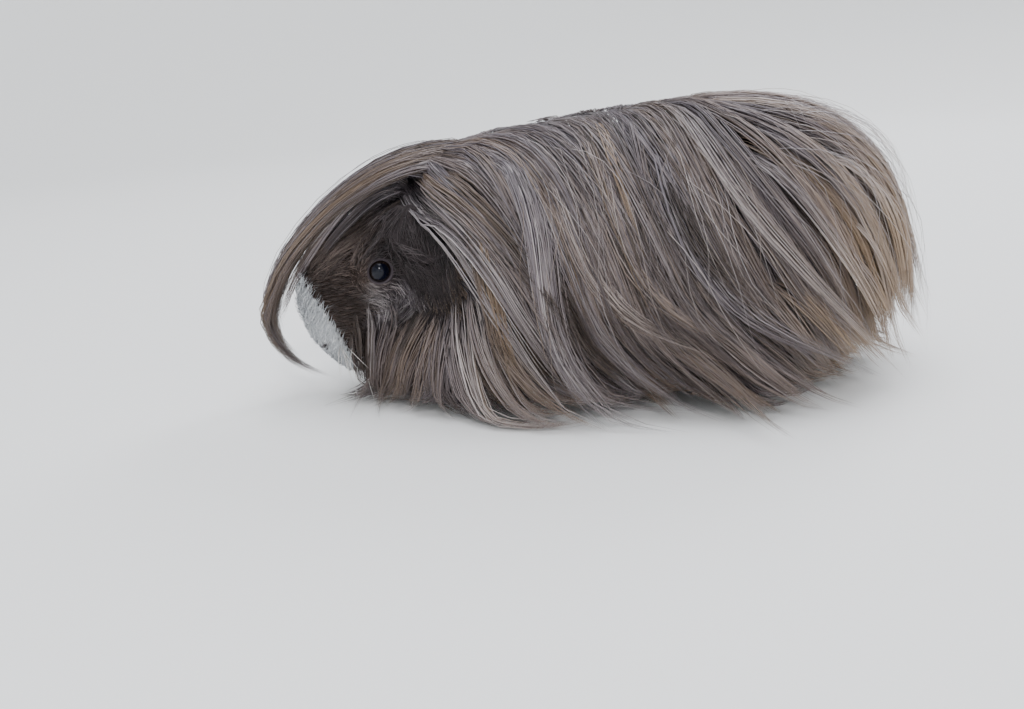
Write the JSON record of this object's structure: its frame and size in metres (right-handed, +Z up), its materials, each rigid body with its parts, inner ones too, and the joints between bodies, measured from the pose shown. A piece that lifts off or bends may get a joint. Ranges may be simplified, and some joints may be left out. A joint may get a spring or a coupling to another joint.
{
  "type": "guinea pig model",
  "caption": "Life-size still model of a long-haired guinea pig crouched with its head lowered, its coat parted along the back and falling to the floor",
  "frame": {"origin": "middle of the outline seen from above, on the floor the feet rest on", "axes": "+X towards the tail end, the nose points to -X; -Y is the animal's left side; +Z is up"},
  "size_m": [0.2804, 0.1648, 0.1165],
  "materials": {
    "coat": "long silky slate-brown hair with paler silver locks and golden-brown tips",
    "face_coat": "short dark brown hair, with a white blaze over the nose and lips",
    "skin": "thin soft bare skin, grey-pink",
    "claws": "smooth horn, semi-gloss",
    "eye": "wet glossy near-black"
  },
  "bodies": {
    "root": {"claw_fore_left_1": "claws", "claw_fore_left_2": "claws", "claw_fore_left_3": "claws", "claw_fore_left_4": "claws", "claw_fore_right_1": "claws", "claw_fore_right_2": "claws", "claw_fore_right_3": "claws", "claw_fore_right_4": "claws", "claw_hind_left_1": "claws", "claw_hind_left_2": "claws", "claw_hind_left_3": "claws", "claw_hind_right_1": "claws", "claw_hind_right_2": "claws", "claw_hind_right_3": "claws", "ear_left": "skin", "ear_right": "skin", "eye_left": "eye", "eye_right": "eye", "foreleg_left": "skin", "foreleg_right": "skin", "hindleg_left": "skin", "hindleg_right": "skin", "forelock": "coat", "head": "face_coat", "neck": "coat", "shoulders": "coat", "trunk": "coat", "rump": "coat", "ruff": "coat"}
  },
  "joints": []
}
